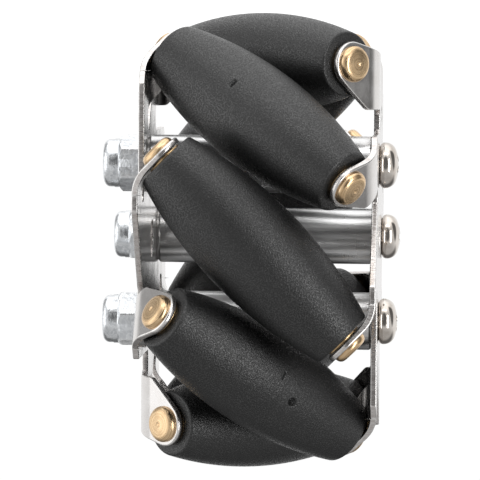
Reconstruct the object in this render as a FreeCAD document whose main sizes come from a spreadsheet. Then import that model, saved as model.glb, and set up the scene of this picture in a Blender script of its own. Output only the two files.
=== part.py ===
import FreeCAD, Part

import math
import os
import re

import Sketcher

# A mecanum wheel: two stamped plates, held apart by three bolted spacer tubes, carry barrel
# rollers on riveted axles that lie across the rim at an angle.
# Frame: the wheel turns about +Y, +Z is up and the origin is the wheel's centre. A roller's
# station angle runs from +X towards +Z. Screw heads are on the +Y side, lock nuts on the -Y side.
# All lengths are in millimetres and all angles in degrees.

# Driving dimensions, each written once. They fill the sheet, and every feature is bound to it.
SIZES = {
    # rollers
    "wheel_radius": 30.0,
    "roller_count": 8,
    "roller_angle": 45.0,
    "roller_radius": 6.55,
    "roller_length": 32.0,
    "roller_edge_radius": 0.6,
    # flanged bushes, two in each roller
    "bush_wall": 0.6,
    "bush_length": 7.0,
    "bush_flange_radius": 2.45,
    "bush_flange_thickness": 0.3,
    # riveted axles
    "axle_radius": 1.5,
    "axle_head_radius": 2.35,
    "axle_head_height": 1.0,
    "axle_head_edge": 0.5,
    "axle_centre_radius": 0.3,
    "axle_centre_depth": 0.2,
    # stamped plates
    "plate_thickness": 0.8,
    "plate_rim": 1.4,
    "arm_corner_round": 0.8,
    "bend_inner_radius": 4.2,
    "tab_length": 4.4,
    "tab_end_radius": 2.9,
    "tab_foot": 5.95,
    "tab_foot_round": 1.2,
    "slot_width": 3.15,
    "slot_relief": 1.05,
    "slot_round": 0.9,
    "hub_bore_radius": 2.5,
    # bolts with spacer tubes
    "bolt_count": 3,
    "bolt_first_angle": 60.0,
    "bolt_circle_radius": 11.8,
    "spacer_radius": 3.75,
    "spacer_chamfer": 0.35,
    "screw_radius": 1.5,
    "screw_head_overhang": 1.5,
    "screw_head_height": 2.5,
    "screw_head_round": 1.5,
    "screw_head_crown": 6.0,
    "screw_head_foot": 0.25,
    "screw_tip_chamfer": 0.4,
    "screw_tip_inset": 0.3,
    "recess_width": 0.8,
    "recess_span": 3.2,
    "recess_depth": 1.4,
    # lock nuts with an insert ring
    "nut_wall": 1.75,
    "nut_hex_height": 3.05,
    "nut_corner_drop": 0.45,
    "nut_shoulder_height": 0.6,
    "nut_shoulder_step": 0.08,
    "nut_collar_wall": 1.62,
    "nut_collar_height": 2.05,
    "nut_collar_round": 0.9,
    "nut_lip_thickness": 0.4,
    "insert_wall": 0.9,
    # turn of each nut about its own bolt, as they happen to be tightened
    "nut_turn_upper": 2.0,
    "nut_turn_rear": 33.0,
    "nut_turn_lower": 43.0,
    # clearances
    "running_clearance": 0.04,
    "end_clearance": 0.08,
    "rivet_clearance": 0.02,
    "bolt_clearance": 0.2,
    "thread_clearance": 0.02,
}

# Sizes that follow from the driving ones. Distances "along" a roller run from its middle, and
# heights "out" run from the wheel's mid-plane.
DERIVED = {
    "roller_offset": "wheel_radius - roller_radius",
    "roller_half": "roller_length / 2",
    # a barrel whose surface keeps to the wheel's cylinder as the roller's axis leaves its middle:
    # the gap at the roller's end, measured square to the roller's axis
    "end_swing": "roller_half * sin(roller_angle)",
    "end_distance": "sqrt(roller_offset ^ 2 + end_swing ^ 2)",
    "end_slope": "sqrt(roller_offset ^ 2 + (end_swing * cos(roller_angle)) ^ 2) / end_distance",
    "roller_end_radius": "(wheel_radius - end_distance) / end_slope",
    "crown_drop": "roller_radius - roller_end_radius",
    "crown_radius": "(roller_half ^ 2 + crown_drop ^ 2) / (2 * crown_drop)",
    "crown_centre": "roller_radius - crown_radius",
    "edge_centre_along": "roller_half - roller_edge_radius",
    "edge_reach": "crown_radius - roller_edge_radius",
    "edge_centre_radius": "crown_centre + sqrt(edge_reach ^ 2 - edge_centre_along ^ 2)",
    "crown_stop_radius": "crown_centre + (edge_centre_radius - crown_centre) * crown_radius / edge_reach",
    "crown_stop_along": "edge_centre_along * crown_radius / edge_reach",
    "bush_bore_radius": "axle_radius + running_clearance",
    "bush_radius": "bush_bore_radius + bush_wall",
    "bush_flange_top": "roller_half + bush_flange_thickness",
    # the tab's two faces along the roller's axis, and the bend that joins it to the plate
    "tab_inner": "bush_flange_top + end_clearance",
    "tab_outer": "tab_inner + plate_thickness",
    "head_top": "tab_outer + axle_head_height",
    "plate_inner": "tab_inner * cos(roller_angle) + tab_length * sin(roller_angle)",
    "plate_outer": "plate_inner + plate_thickness",
    "bend_outer_radius": "bend_inner_radius + plate_thickness",
    "bend_setback": "bend_outer_radius * tan(roller_angle / 2)",
    "tab_corner": "(plate_outer - tab_outer * cos(roller_angle)) / sin(roller_angle)",
    "tab_flat": "tab_corner - bend_setback",
    "bend_line": "tab_outer * sin(roller_angle) - tab_corner * cos(roller_angle) - bend_setback",
    "bend_depth": "bend_outer_radius * (1 - cos(roller_angle))",
    "bend_run": "tab_flat + bend_outer_radius * sin(roller_angle)",
    # the flat blank: the straight rim of each arm, the foot of its tab and the relief slot
    "station_pitch": "360 / roller_count",
    "rim_radius": "roller_offset + plate_rim",
    "blank_radius": "rim_radius + slot_width",
    "foot_radius": "roller_offset - tab_foot",
    "slot_radius": "foot_radius - slot_width",
    "slot_end": "bend_line - slot_relief",
    "slot_side": "slot_end + slot_round",
    "arm_corner": "(slot_radius - rim_radius * cos(station_pitch)) / sin(station_pitch)",
    # bolts
    "bolt_hole_radius": "screw_radius + bolt_clearance",
    "screw_head_radius": "screw_radius + screw_head_overhang",
    "screw_head_top": "plate_outer + screw_head_height",
    # a slightly domed top that runs into the head's rounded edge
    "crown_base": "screw_head_top - screw_head_crown",
    "dome_reach": "screw_head_crown - screw_head_round",
    "dome_edge_radius": "screw_head_radius - screw_head_round",
    "dome_edge_out": "crown_base + sqrt(dome_reach ^ 2 - dome_edge_radius ^ 2)",
    "dome_stop_radius": "dome_edge_radius * screw_head_crown / dome_reach",
    "dome_stop_out": "crown_base + (dome_edge_out - crown_base) * screw_head_crown / dome_reach",
    "nut_top": "plate_outer + nut_hex_height + nut_collar_height",
    "nut_hex_top": "plate_outer + nut_hex_height",
    "nut_flat_reach": "screw_radius + nut_wall",
    "nut_corner_radius": "nut_flat_reach / cos(30)",
    "nut_collar_radius": "screw_radius + nut_collar_wall",
    "nut_shoulder_radius": "nut_collar_radius + nut_shoulder_step",
    "nut_shoulder_top": "nut_hex_top + nut_shoulder_height",
    "nut_bore_radius": "screw_radius + thread_clearance",
    "insert_radius": "nut_bore_radius + insert_wall",
    "insert_top": "nut_top - nut_lip_thickness",
    "screw_tip": "nut_top - screw_tip_inset",
}

document = FreeCAD.newDocument("mecanum_wheel")


def fill_sheet():
    """Writes the driving dimensions into the sheet, one row each."""
    page = document.addObject("Spreadsheet::Sheet", "sizes")
    for row, (name, number) in enumerate(SIZES.items(), start=1):
        page.set(f"A{row}", name)
        page.set(f"B{row}", str(number))
        page.setAlias(f"B{row}", name)
    document.recompute()
    return page


sheet = fill_sheet()


def formula(text):
    """Turns a formula in plain size names into one that reads the sheet."""

    def swap(match):
        word = match.group(0)
        if word in DERIVED:
            return f"({formula(DERIVED[word])})"
        return f"sizes.{word}" if word in SIZES else word

    return re.sub(r"[a-z_]\w*", swap, text)


def value(text):
    """The number that a formula gives at present."""
    return float(sheet.evalExpression(formula(text)))


def origin_feature(body, role):
    return next(feature for feature in body.Origin.OriginFeatures if feature.Role == role)


# Sketch helpers. A corner is a pair of formulas, and a third one makes the edge that arrives
# there an arc of that radius: to the left of the way it runs, or to the right if it starts with -.


def new_sketch(body, name, plane, offset=None):
    sketch = body.newObject("Sketcher::SketchObject", name)
    sketch.AttachmentSupport = (origin_feature(body, plane), [""])
    sketch.MapMode = "FlatFace"
    if offset:
        sketch.setExpression("AttachmentOffset", formula(offset))
    return sketch


def size_constraint(sketch, text, *parts):
    index = sketch.addConstraint(Sketcher.Constraint(*parts, value(text)))
    sketch.setExpression(f"Constraints[{index}]", formula(text))


def pin_point(sketch, edge, end, x, y):
    """Holds one end of an edge, or a circle's centre, at the given place."""
    root = (-1, 1)
    for kind, text, axis in (("DistanceX", x, -2), ("DistanceY", y, -1)):
        if text == "0":
            sketch.addConstraint(Sketcher.Constraint("PointOnObject", edge, end, axis))
        elif value(text) > 0:
            size_constraint(sketch, text, kind, *root, edge, end)
        else:
            size_constraint(sketch, f"-({text})", kind, edge, end, *root)


def arc_between(start, end, radius, to_left):
    """The shorter arc from start to end, with its centre to the left or right of the way."""
    chord = end - start
    rise = math.sqrt(max(radius ** 2 - chord.Length ** 2 / 4, 0.0))
    side = FreeCAD.Vector(-chord.y, chord.x, 0).normalize()
    centre = start + chord * 0.5 + side * (rise if to_left else -rise)
    first, last = (start, end) if to_left else (end, start)
    angles = [math.atan2(point.y - centre.y, point.x - centre.x) for point in (first, last)]
    circle = Part.Circle(centre, FreeCAD.Vector(0, 0, 1), radius)
    return Part.ArcOfCircle(circle, *angles)


def draw_outline(sketch, corners):
    """Draws a closed outline through its corners and ties each one to the sheet."""
    points = [FreeCAD.Vector(value(corner[0]), value(corner[1]), 0) for corner in corners]
    edges = []
    for index, corner in enumerate(corners):
        start, end = points[index - 1], points[index]
        if len(corner) == 2:
            edges.append((sketch.addGeometry(Part.LineSegment(start, end)), 1, 2))
            continue
        radius = corner[2].lstrip("-")
        to_left = not corner[2].startswith("-")
        arc = sketch.addGeometry(arc_between(start, end, value(radius), to_left))
        edges.append((arc, 1, 2) if to_left else (arc, 2, 1))
    for index, (edge, first, last) in enumerate(edges):
        before, _, before_last = edges[index - 1]
        sketch.addConstraint(Sketcher.Constraint("Coincident", before, before_last, edge, first))
        corner = corners[index]
        pin_point(sketch, edge, last, corner[0], corner[1])
        if len(corner) == 3:
            size_constraint(sketch, corner[2].lstrip("-"), "Radius", edge)


def draw_circle(sketch, radius, x="0", y="0"):
    centre = FreeCAD.Vector(value(x), value(y), 0)
    circle = sketch.addGeometry(Part.Circle(centre, FreeCAD.Vector(0, 0, 1), value(radius)))
    pin_point(sketch, circle, 3, x, y)
    size_constraint(sketch, radius, "Radius", circle)


# Feature helpers


def new_body(label, placement=None):
    body = document.addObject("PartDesign::Body", label)
    body.Label = label
    if placement:
        body.setExpression("Placement", formula(placement))
    return body


def extrude(body, kind, sketch, length, reverse=False, both_ways=False):
    """Pads or pockets a sketch. A length that runs both ways is the whole length."""
    feature = body.newObject(f"PartDesign::{kind}", f"{sketch.Name}_{kind}")
    feature.Profile = sketch
    feature.setExpression("Length", formula(length))
    feature.Reversed = reverse
    feature.Midplane = both_ways
    sketch.Visibility = False
    return feature


def right_through(size):
    """A whole length that clears something of that size on both sides of the sketch."""
    return f"4 * ({size})"


def turn(body, kind, name, corners):
    """Turns a half-section about the body's Z axis. Corners are (radius, height)."""
    sketch = new_sketch(body, name, "XZ_Plane")
    draw_outline(sketch, corners)
    feature = body.newObject(f"PartDesign::{kind}", f"{name}_{kind}")
    feature.Profile = sketch
    feature.ReferenceAxis = (sketch, ["V_Axis"])
    feature.Angle = 360
    return feature


def roller_place(station, flipped=False):
    """Puts a piece's Z axis along the axle of a station, or against it when flipped."""
    swing = f"rotation(vector(0; 1; 0); -({station} * station_pitch))"
    lean = "90 - roller_angle" if flipped else "-(90 + roller_angle)"
    return (
        f"placement({swing} * vector(roller_offset; 0; 0);"
        f" {swing} * rotation(vector(1; 0; 0); {lean}))"
    )


def bolt_angle(station):
    return f"(bolt_first_angle + {station} * 360 / bolt_count)"


def bolt_place(station, to_nut=False, spin="0"):
    """Puts a piece's Z axis on a bolt, pointing to the screw head or to the nut."""
    swing = f"rotation(vector(0; 1; 0); -{bolt_angle(station)})"
    lean = 90 if to_nut else -90
    return (
        f"placement({swing} * vector(bolt_circle_radius; 0; 0);"
        f" {swing} * rotation(vector(1; 0; 0); {lean}) * rotation(vector(0; 0; 1); {spin}))"
    )


# Pieces on a roller's axle


def make_roller(label, station):
    """A moulded barrel with rounded end edges and a straight bore for its bushes."""
    body = new_body(label, roller_place(station))
    corners = [
        ("bush_radius", "-roller_half"),
        ("edge_centre_radius", "-roller_half"),
        ("crown_stop_radius", "-crown_stop_along", "roller_edge_radius"),
        ("crown_stop_radius", "crown_stop_along", "crown_radius"),
        ("edge_centre_radius", "roller_half", "roller_edge_radius"),
        ("bush_radius", "roller_half"),
    ]
    turn(body, "Revolution", f"{label}_section", corners)
    return body


def make_bush(label, station, flipped):
    """A flanged bush pressed into one end of a roller, its flange against the tab."""
    body = new_body(label, roller_place(station, flipped))
    corners = [
        ("bush_bore_radius", "roller_half - bush_length"),
        ("bush_radius", "roller_half - bush_length"),
        ("bush_radius", "roller_half"),
        ("bush_flange_radius", "roller_half"),
        ("bush_flange_radius", "bush_flange_top"),
        ("bush_bore_radius", "bush_flange_top"),
    ]
    turn(body, "Revolution", f"{label}_section", corners)
    return body


def make_axle(label, station):
    """A pin with a turned head at each end, the heads seated on the outside of the tabs."""
    body = new_body(label, roller_place(station))
    upper = [
        ("axle_radius", "tab_outer"),
        ("axle_head_radius", "tab_outer"),
        ("axle_head_radius", "head_top - axle_head_edge"),
        ("axle_head_radius - axle_head_edge", "head_top", "axle_head_edge"),
        ("axle_centre_radius", "head_top"),
        ("0", "head_top - axle_centre_depth"),
    ]
    lower = [
        ("0", "-(head_top - axle_centre_depth)"),
        ("axle_centre_radius", "-head_top"),
        ("axle_head_radius - axle_head_edge", "-head_top"),
        ("axle_head_radius", "-(head_top - axle_head_edge)", "axle_head_edge"),
        ("axle_head_radius", "-tab_outer"),
        ("axle_radius", "-tab_outer"),
    ]
    turn(body, "Revolution", f"{label}_section", lower + upper)
    return body


# Stamped plate


def on_tab(height):
    """A sketch place on the first station's tab: x runs outwards, y runs towards the plate."""
    return (
        f"placement(vector(0; ({height}) * cos(roller_angle); -({height}) * sin(roller_angle));"
        " rotation(vector(1; 0; 0); 90 - roller_angle))"
    )


def tangent_point(x, y, radius, side):
    """Where a line from (x, y) touches a circle of that radius round the tab's axle hole."""
    reach = f"sqrt(({x}) ^ 2 + ({y}) ^ 2)"
    angle = f"(atan2({y}; {x}) {side} acos({radius} / {reach}))"
    return f"roller_offset + {radius} * cos({angle})", f"{radius} * sin({angle})"


def tab_trim(body):
    """Cuts the bent strip to the tab's outline: a round end that widens to a foot at the bend."""
    sketch = new_sketch(body, f"{body.Name}_trim", "XY_Plane", on_tab("tab_outer"))
    far_out = "roller_offset + 2 * tab_end_radius"
    far_in = "foot_radius - slot_round"
    past_end = "-2 * tab_end_radius"
    upper = tangent_point("plate_rim", "bend_run", "tab_end_radius", "-")
    lower = tangent_point("-tab_foot", "tab_flat", "tab_end_radius", "+")
    corners = [
        (far_out, "bend_run"),
        ("rim_radius", "bend_run"),
        upper,
        ("roller_offset", "-tab_end_radius", "-tab_end_radius"),
        (lower[0], lower[1], "-tab_end_radius"),
        ("foot_radius", "tab_flat"),
        ("foot_radius", "bend_run"),
        (far_in, "bend_run"),
        (far_in, past_end),
        (far_out, past_end),
    ]
    draw_outline(sketch, corners)
    return extrude(body, "Pocket", sketch, right_through("bend_depth + plate_thickness"), both_ways=True)


def bent_strip(body):
    """The sheet's section through a tab: flat end, bend and straight tab, run along the radius."""
    offset = "placement(vector(0; 0; foot_radius); rotation(vector(0; 0; 1); 0))"
    sketch = new_sketch(body, f"{body.Name}_strip", "YZ_Plane", offset)
    bend_out = "plate_outer - bend_outer_radius"

    def on_bend(radius):
        return (
            f"{bend_out} + {radius} * cos(roller_angle)",
            f"-(bend_line + {radius} * sin(roller_angle))",
        )

    def tab_tip(along):
        reach = "(tab_end_radius + plate_thickness)"
        return (
            f"{along} * cos(roller_angle) - {reach} * sin(roller_angle)",
            f"-({along} * sin(roller_angle) + {reach} * cos(roller_angle))",
        )

    corners = [
        ("plate_outer", "-bend_line"),
        (*on_bend("bend_outer_radius"), "-bend_outer_radius"),
        tab_tip("tab_outer"),
        tab_tip("tab_inner"),
        on_bend("bend_inner_radius"),
        ("plate_inner", "-bend_line", "bend_inner_radius"),
    ]
    draw_outline(sketch, corners)
    return extrude(body, "Pad", sketch, "tab_foot + tab_end_radius + plate_thickness")


def relief_notch(body):
    """Frees one tab from the blank: a relief slot behind the bend, and all outside the arm's rim."""
    sketch = new_sketch(body, f"{body.Name}_notch", "XZ_Plane")
    far_out = "blank_radius + slot_width"
    corners = [
        ("slot_radius", "-slot_side"),
        ("slot_radius + slot_round", "-slot_end", "-slot_round"),
        ("foot_radius - slot_round", "-slot_end"),
        ("foot_radius", "-slot_side", "-slot_round"),
        ("foot_radius", "-bend_line"),
        ("rim_radius", "-bend_line"),
        ("rim_radius", "0"),
        (far_out, "0"),
        (far_out, "-blank_radius"),
        ("slot_radius", "-blank_radius"),
    ]
    draw_outline(sketch, corners)
    return extrude(body, "Pocket", sketch, right_through("plate_outer"), both_ways=True)


def axle_hole(body):
    sketch = new_sketch(body, f"{body.Name}_axle_hole", "XY_Plane", on_tab("tab_outer"))
    draw_circle(sketch, "axle_radius + rivet_clearance", "roller_offset", "0")
    return extrude(body, "Pocket", sketch, right_through("plate_thickness"), both_ways=True)


def round_corners(body, base, name, radius, spot):
    """Rounds the short edge across the sheet that lies at a spot of the first station, on every arm."""
    first = FreeCAD.Vector(*[value(part) for part in spot])
    middles = [edge.CenterOfMass for edge in base.Shape.Edges]
    edges = []
    for station in range(SIZES["roller_count"]):
        swing = FreeCAD.Rotation(FreeCAD.Vector(0, 1, 0), station * value("station_pitch"))
        place = swing.multVec(first)
        gaps = [middle.distanceToPoint(place) for middle in middles]
        edges.append(f"Edge{gaps.index(min(gaps)) + 1}")
    fillet = body.newObject("PartDesign::Fillet", f"{body.Name}_{name}")
    fillet.Base = (base, edges)
    fillet.setExpression("Radius", formula(radius))
    document.recompute()
    return fillet


def make_plate(label, flipped):
    """A blank with a bent tab for each roller. Both sides are one stamping, turned over."""
    flip = 180 if flipped else 0
    place = f"placement(vector(0; 0; 0); rotation(vector(1; 0; 0); {flip}))"
    body = new_body(label, place)
    away = "placement(vector(0; 0; -plate_outer); rotation(vector(0; 0; 1); 0))"
    blank = new_sketch(body, f"{body.Name}_blank", "XZ_Plane", away)
    draw_circle(blank, "blank_radius")
    extrude(body, "Pad", blank, "plate_thickness")
    document.recompute()
    repeated = [relief_notch(body), bent_strip(body), tab_trim(body), axle_hole(body)]
    document.recompute()
    pattern = body.newObject("PartDesign::PolarPattern", f"{body.Name}_stations")
    pattern.Originals = repeated
    pattern.Axis = (origin_feature(body, "Y_Axis"), [""])
    pattern.Angle = 360
    pattern.setExpression("Occurrences", formula("roller_count"))
    body.Tip = pattern
    document.recompute()
    sheet_middle = "(plate_inner + plate_outer) / 2"
    arm = ("rim_radius", sheet_middle, "arm_corner")
    tab_middle = "(tab_inner + tab_outer) / 2"
    foot = (
        "foot_radius",
        f"{tab_middle} * cos(roller_angle) + tab_flat * sin(roller_angle)",
        f"tab_flat * cos(roller_angle) - {tab_middle} * sin(roller_angle)",
    )
    rounded = round_corners(body, pattern, "arm_corners", "arm_corner_round", arm)
    round_corners(body, rounded, "tab_feet", "tab_foot_round", foot)
    holes = new_sketch(body, f"{body.Name}_holes", "XZ_Plane")
    draw_circle(holes, "hub_bore_radius")
    for station in range(SIZES["bolt_count"]):
        x = f"bolt_circle_radius * cos{bolt_angle(station)}"
        y = f"bolt_circle_radius * sin{bolt_angle(station)}"
        draw_circle(holes, "bolt_hole_radius", x, y)
    extrude(body, "Pocket", holes, right_through("plate_outer"), both_ways=True)
    return body


# Bolts


def make_spacer(label, station):
    """A turned tube between the plates, bored for the screw and chamfered at both ends."""
    body = new_body(label, bolt_place(station))
    rim = "spacer_radius - spacer_chamfer"
    chamfer_end = "plate_inner - spacer_chamfer"
    corners = [
        ("bolt_hole_radius", "-plate_inner"),
        (rim, "-plate_inner"),
        ("spacer_radius", f"-({chamfer_end})"),
        ("spacer_radius", chamfer_end),
        (rim, "plate_inner"),
        ("bolt_hole_radius", "plate_inner"),
    ]
    turn(body, "Revolution", f"{label}_section", corners)
    return body


def cross_outline():
    """The corners of a cross recess, one arm after the other."""
    near, far = "(recess_width / 2)", "(recess_span / 2)"
    return [
        (far, f"-{near}"), (far, near), (near, near),
        (near, far), (f"-{near}", far), (f"-{near}", near),
        (f"-{far}", near), (f"-{far}", f"-{near}"), (f"-{near}", f"-{near}"),
        (f"-{near}", f"-{far}"), (near, f"-{far}"), (near, f"-{near}"),
    ]


def make_screw(label, station):
    """A pan-head screw through both plates, with a cross recess in its head."""
    body = new_body(label, bolt_place(station))
    corners = [
        ("0", "-screw_tip"),
        ("screw_radius - screw_tip_chamfer", "-screw_tip"),
        ("screw_radius", "-(screw_tip - screw_tip_chamfer)"),
        ("screw_radius", "plate_outer"),
        ("screw_head_radius - screw_head_foot", "plate_outer"),
        ("screw_head_radius", "plate_outer + screw_head_foot", "screw_head_foot"),
        ("screw_head_radius", "dome_edge_out"),
        ("dome_stop_radius", "dome_stop_out", "screw_head_round"),
        ("0", "screw_head_top", "screw_head_crown"),
    ]
    turn(body, "Revolution", f"{label}_section", corners)
    document.recompute()
    top = "placement(vector(0; 0; screw_head_top); rotation(vector(0; 0; 1); 0))"
    recess = new_sketch(body, f"{label}_recess", "XY_Plane", top)
    draw_outline(recess, cross_outline())
    extrude(body, "Pocket", recess, "recess_depth")
    return body


def make_nut(label, station, spin):
    """A hexagon nut whose stepped collar holds the insert ring under a rolled lip."""
    body = new_body(label, bolt_place(station, to_nut=True, spin=spin))
    base = "placement(vector(0; 0; plate_outer); rotation(vector(0; 0; 1); 0))"
    hexagon = new_sketch(body, f"{label}_hexagon", "XY_Plane", base)
    sides = [30 + 60 * side for side in range(6)]
    at_corner = "nut_corner_radius * {}({})"
    draw_outline(hexagon, [(at_corner.format("cos", a), at_corner.format("sin", a)) for a in sides])
    extrude(body, "Pad", hexagon, "nut_hex_height")
    document.recompute()
    for name, face, inward in (("foot", "plate_outer", "+"), ("shoulder", "nut_hex_top", "-")):
        corners = [
            ("nut_flat_reach", face),
            ("nut_corner_radius", f"{face} {inward} nut_corner_drop"),
            ("nut_corner_radius + nut_corner_drop", f"{face} {inward} nut_corner_drop"),
            ("nut_corner_radius + nut_corner_drop", face),
        ]
        turn(body, "Groove", f"{label}_{name}", corners)
    collar = [
        ("insert_radius", "nut_hex_top"),
        ("nut_shoulder_radius", "nut_hex_top"),
        ("nut_shoulder_radius", "nut_shoulder_top"),
        ("nut_collar_radius", "nut_shoulder_top"),
        ("nut_collar_radius", "nut_top - nut_collar_round"),
        ("nut_collar_radius - nut_collar_round", "nut_top", "nut_collar_round"),
        ("nut_bore_radius + insert_wall / 2", "nut_top"),
        ("nut_bore_radius + insert_wall / 2", "insert_top"),
        ("insert_radius", "insert_top"),
    ]
    turn(body, "Revolution", f"{label}_collar", collar)
    document.recompute()
    bore = new_sketch(body, f"{label}_bore", "XY_Plane", base)
    draw_circle(bore, "nut_bore_radius")
    extrude(body, "Pocket", bore, right_through("nut_top - plate_outer"), both_ways=True)
    return body


def make_insert(label, station):
    """The locking ring that grips the screw inside the nut's collar."""
    body = new_body(label, bolt_place(station, to_nut=True))
    corners = [
        ("nut_bore_radius", "nut_hex_top"),
        ("insert_radius", "nut_hex_top"),
        ("insert_radius", "insert_top"),
        ("nut_bore_radius", "insert_top"),
    ]
    turn(body, "Revolution", f"{label}_section", corners)
    return body


def make_wheel():
    """Every piece of the wheel, each a body of its own."""
    pieces = [make_plate("plate_head_side", False), make_plate("plate_nut_side", True)]
    for station in range(SIZES["roller_count"]):
        number = station + 1
        pieces.append(make_roller(f"roller_{number}", station))
        pieces.append(make_bush(f"bush_{number}_head_side", station, False))
        pieces.append(make_bush(f"bush_{number}_nut_side", station, True))
        pieces.append(make_axle(f"axle_{number}", station))
    spins = ("nut_turn_upper", "nut_turn_rear", "nut_turn_lower")
    for station in range(SIZES["bolt_count"]):
        number = station + 1
        pieces.append(make_spacer(f"spacer_tube_{number}", station))
        pieces.append(make_screw(f"screw_{number}", station))
        pieces.append(make_nut(f"lock_nut_{number}", station, spins[station % len(spins)]))
        pieces.append(make_insert(f"nut_insert_{number}", station))
    document.recompute()
    return pieces


def check_document(pieces):
    """Stops before anything is written if a feature failed or a piece isn't one sound solid."""
    failed = [part.Label for part in document.Objects if {"Invalid", "Error"} & set(part.State)]
    if failed:
        raise RuntimeError(f"failed to compute: {failed}")
    for piece in pieces:
        shape = piece.Shape
        if shape.isNull() or not shape.isValid() or len(shape.Solids) != 1:
            raise RuntimeError(f"{piece.Label} is not one sound solid")


def write_pieces(pieces):
    os.makedirs("parts", exist_ok=True)
    for piece in pieces:
        piece.Shape.exportStep(f"parts/{piece.Label}.step")


wheel = make_wheel()
check_document(wheel)
write_pieces(wheel)
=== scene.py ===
import math

import bmesh
import bpy
from mathutils import Matrix, Vector


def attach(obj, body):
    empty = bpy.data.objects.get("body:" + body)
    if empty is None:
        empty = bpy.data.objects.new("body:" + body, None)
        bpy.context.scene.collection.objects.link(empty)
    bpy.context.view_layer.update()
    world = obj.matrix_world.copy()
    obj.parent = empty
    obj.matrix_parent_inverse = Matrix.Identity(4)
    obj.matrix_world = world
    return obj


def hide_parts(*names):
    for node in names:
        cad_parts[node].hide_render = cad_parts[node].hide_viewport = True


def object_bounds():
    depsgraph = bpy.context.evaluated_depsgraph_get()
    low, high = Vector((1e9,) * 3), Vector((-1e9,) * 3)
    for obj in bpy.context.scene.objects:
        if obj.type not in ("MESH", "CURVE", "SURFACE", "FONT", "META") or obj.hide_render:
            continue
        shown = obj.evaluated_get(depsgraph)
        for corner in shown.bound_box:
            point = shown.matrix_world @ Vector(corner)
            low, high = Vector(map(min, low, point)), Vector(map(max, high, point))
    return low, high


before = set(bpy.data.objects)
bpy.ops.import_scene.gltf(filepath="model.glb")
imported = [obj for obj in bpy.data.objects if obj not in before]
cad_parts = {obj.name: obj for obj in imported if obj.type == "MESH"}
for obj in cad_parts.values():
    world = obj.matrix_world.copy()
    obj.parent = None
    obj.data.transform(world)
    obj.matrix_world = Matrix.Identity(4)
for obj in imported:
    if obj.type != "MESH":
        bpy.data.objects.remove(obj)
cad_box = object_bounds()

# A mecanum wheel: rubber barrel rollers on riveted brass axles between two stamped steel plates.
# It turns about +Y, +Z is up and the camera stands on the +X side. Pieces are made in millimetres
# about their own Z axis and become metres when they are put on the wheel. Angles are in degrees.

MM = 0.001
ROLLERS = 8
STATIONS = range(1, ROLLERS + 1)
STATION_STEP = 360.0 / ROLLERS
BOLT_COUNT = 3
BOLTS = range(1, BOLT_COUNT + 1)
BOLT_STEP = 360.0 / BOLT_COUNT

# Rollers, bushes and axles
WHEEL_RADIUS = 30.0
ROLLER_LEAN = 45.0
ROLLER_RADIUS = 6.55
ROLLER_HALF = 16.0
ROLLER_OFFSET = WHEEL_RADIUS - ROLLER_RADIUS
ROLLER_EDGE_RADIUS = 0.4
BUSH_BORE = 1.54
BUSH_RADIUS = 2.14
BUSH_LENGTH = 7.0
BUSH_FLANGE_RADIUS = 2.45
BUSH_FLANGE_TOP = 16.3
BUSH_FLANGE_EDGE = 0.08
TAB_OUTER = 17.18
AXLE_RADIUS = 1.5
AXLE_HEAD_RADIUS = 2.35
AXLE_HEAD_TOP = 18.18
AXLE_HEAD_EDGE = 0.8
AXLE_HEAD_FOOT = 0.05
AXLE_HEAD_CROWN = 0.1
AXLE_CENTRE_RADIUS = 0.3
AXLE_CENTRE_DEPTH = 0.2

# Bolts: spacer tubes, screws, nuts and insert rings
PLATE_INNER = 14.694
PLATE_OUTER = 15.494
BOLT_CIRCLE = 11.8
BOLT_FIRST_ANGLE = 60.0
BOLT_HOLE_RADIUS = 1.7
SPACER_RADIUS = 3.75
SPACER_CHAMFER = 0.35
SPACER_EDGE = 0.08
SCREW_RADIUS = 1.5
SCREW_HEAD_RADIUS = 3.0
SCREW_HEAD_TOP = PLATE_OUTER + 2.5
SCREW_HEAD_ROUND = 1.5
SCREW_HEAD_CROWN = 6.0
SCREW_HEAD_FOOT = 0.68
SCREW_TIP_CHAMFER = 0.4
RECESS_WIDTH = 0.8
RECESS_SPAN = 3.2
RECESS_DEPTH = 1.4
RECESS_TAPER = 0.72
CUTTER_ABOVE_HEAD = 1.0
HEXAGON_STEP = 60.0
HEXAGON_HALF = HEXAGON_STEP / 2
NUT_FLAT_REACH = 3.25
NUT_SEAT_INSET = 0.15
NUT_SPUN_RADIUS = NUT_FLAT_REACH + 1.0
NUT_HEX_TOP = PLATE_OUTER + 3.05
NUT_TOP = NUT_HEX_TOP + 2.05
NUT_EDGE_DROP = 0.06
NUT_CORNER_DROP = 0.45
NUT_CORNER_ROUND = 0.3
NUT_SHOULDER_RADIUS = 3.2
NUT_SHOULDER_LEDGE = 0.02
NUT_SHOULDER_TOP = NUT_HEX_TOP + 0.6
NUT_COLLAR_RADIUS = 3.12
NUT_COLLAR_ROUND = 0.9
NUT_LIP_THICKNESS = 0.4
NUT_LIP_EDGE = 0.1
NUT_BORE = 1.52
NUT_TURNS = {1: 2.0, 2: 33.0, 3: 43.0}
INSERT_RADIUS = 2.42
INSERT_EDGE = 0.12
SCREW_TIP = NUT_TOP - 0.3

# Stamped plates
PLATE_EDGE = 0.14
TAB_RIM_EDGE = 0.26
TAB_RIM_REACH = (3.2, 4.4)
PLATE_SHARP = 30.0
SHEET_NORMAL_Y = 0.72
TAB_NORMAL_MATCH = 0.99
FLAT_ANGLE = 0.5

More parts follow.
